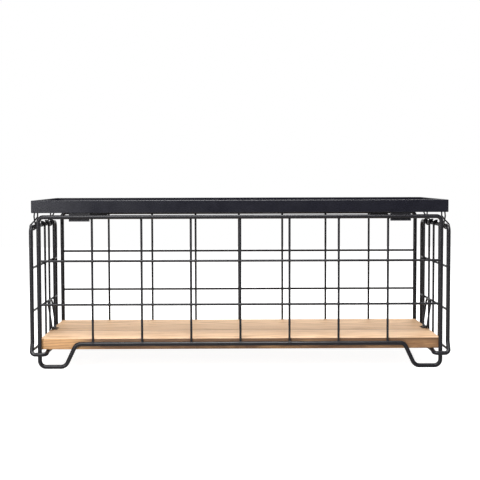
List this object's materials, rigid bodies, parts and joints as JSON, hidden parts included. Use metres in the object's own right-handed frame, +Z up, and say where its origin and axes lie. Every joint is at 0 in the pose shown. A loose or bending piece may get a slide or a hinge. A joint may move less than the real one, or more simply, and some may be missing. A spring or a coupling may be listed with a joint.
{
  "type": "entryway bench",
  "caption": "Low bench with a recessed steel seat in a flat rim, wire-grid sides on bent-rod feet, and a wooden shelf board that lifts by wire handles.",
  "frame": {"origin": "on the floor, under the middle of the bench", "axes": "+X along the bench to the right, -Y its front, +Z up"},
  "size_m": [1.0218, 0.3932, 0.406],
  "materials": {
    "rim_steel": "satin charcoal powder coat on sheet steel",
    "rod_steel": "satin charcoal powder coat on bent rod",
    "wire_steel": "satin charcoal powder coat on wire",
    "clip_steel": "satin charcoal powder coat",
    "handle_steel": "satin charcoal powder coat on wire",
    "screw_steel": "black screws",
    "shelf_wood": "plain oiled softwood planks, warm tan"
  },
  "bodies": {
    "bench_frame": {"seat_rim": "rim_steel", "seat_rim_ledge": "rim_steel", "seat_bearers": "rim_steel", "front_left_clip": "clip_steel", "front_right_clip": "clip_steel", "back_left_clip": "clip_steel", "back_right_clip": "clip_steel", "clip_screws": "screw_steel", "front_frame": "rod_steel", "front_upright_wires": "wire_steel", "front_cross_wires": "wire_steel", "back_frame": "rod_steel", "back_upright_wires": "wire_steel", "back_cross_wires": "wire_steel", "left_end_frame": "rod_steel", "left_end_uprights": "wire_steel", "left_end_cross_wires": "wire_steel", "right_end_frame": "rod_steel", "right_end_uprights": "wire_steel", "right_end_cross_wires": "wire_steel", "left_front_hanger": "wire_steel", "left_back_hanger": "wire_steel", "right_front_hanger": "wire_steel", "right_back_hanger": "wire_steel"},
    "seat_panel": {"seat_panel": "rim_steel", "seat_panel_bars": "rim_steel", "seat_panel_stiffeners": "rim_steel"},
    "shelf_board": {"shelf_front_plank": "shelf_wood", "shelf_back_plank": "shelf_wood", "left_handle_straps": "clip_steel", "right_handle_straps": "clip_steel", "left_strap_screws": "screw_steel", "right_strap_screws": "screw_steel"},
    "left_handle": {"left_handle": "handle_steel"},
    "right_handle": {"right_handle": "handle_steel"}
  },
  "joints": [
    {"name": "seat_panel_lift", "type": "slide", "parent": "bench_frame", "child": "seat_panel", "axis": [0, 0, 1], "range_m": [0, 0.12]},
    {"name": "shelf_lift", "type": "slide", "parent": "bench_frame", "child": "shelf_board", "axis": [0, 0, 1], "range_m": [0, 0.22]},
    {"name": "left_handle_fold", "type": "hinge", "parent": "shelf_board", "child": "left_handle", "pos_m": [-0.479, 0, 0.0748], "axis": [0, 1, 0], "range_deg": [0, 97]},
    {"name": "right_handle_fold", "type": "hinge", "parent": "shelf_board", "child": "right_handle", "pos_m": [0.479, 0, 0.0748], "axis": [0, -1, 0], "range_deg": [0, 97]}
  ]
}
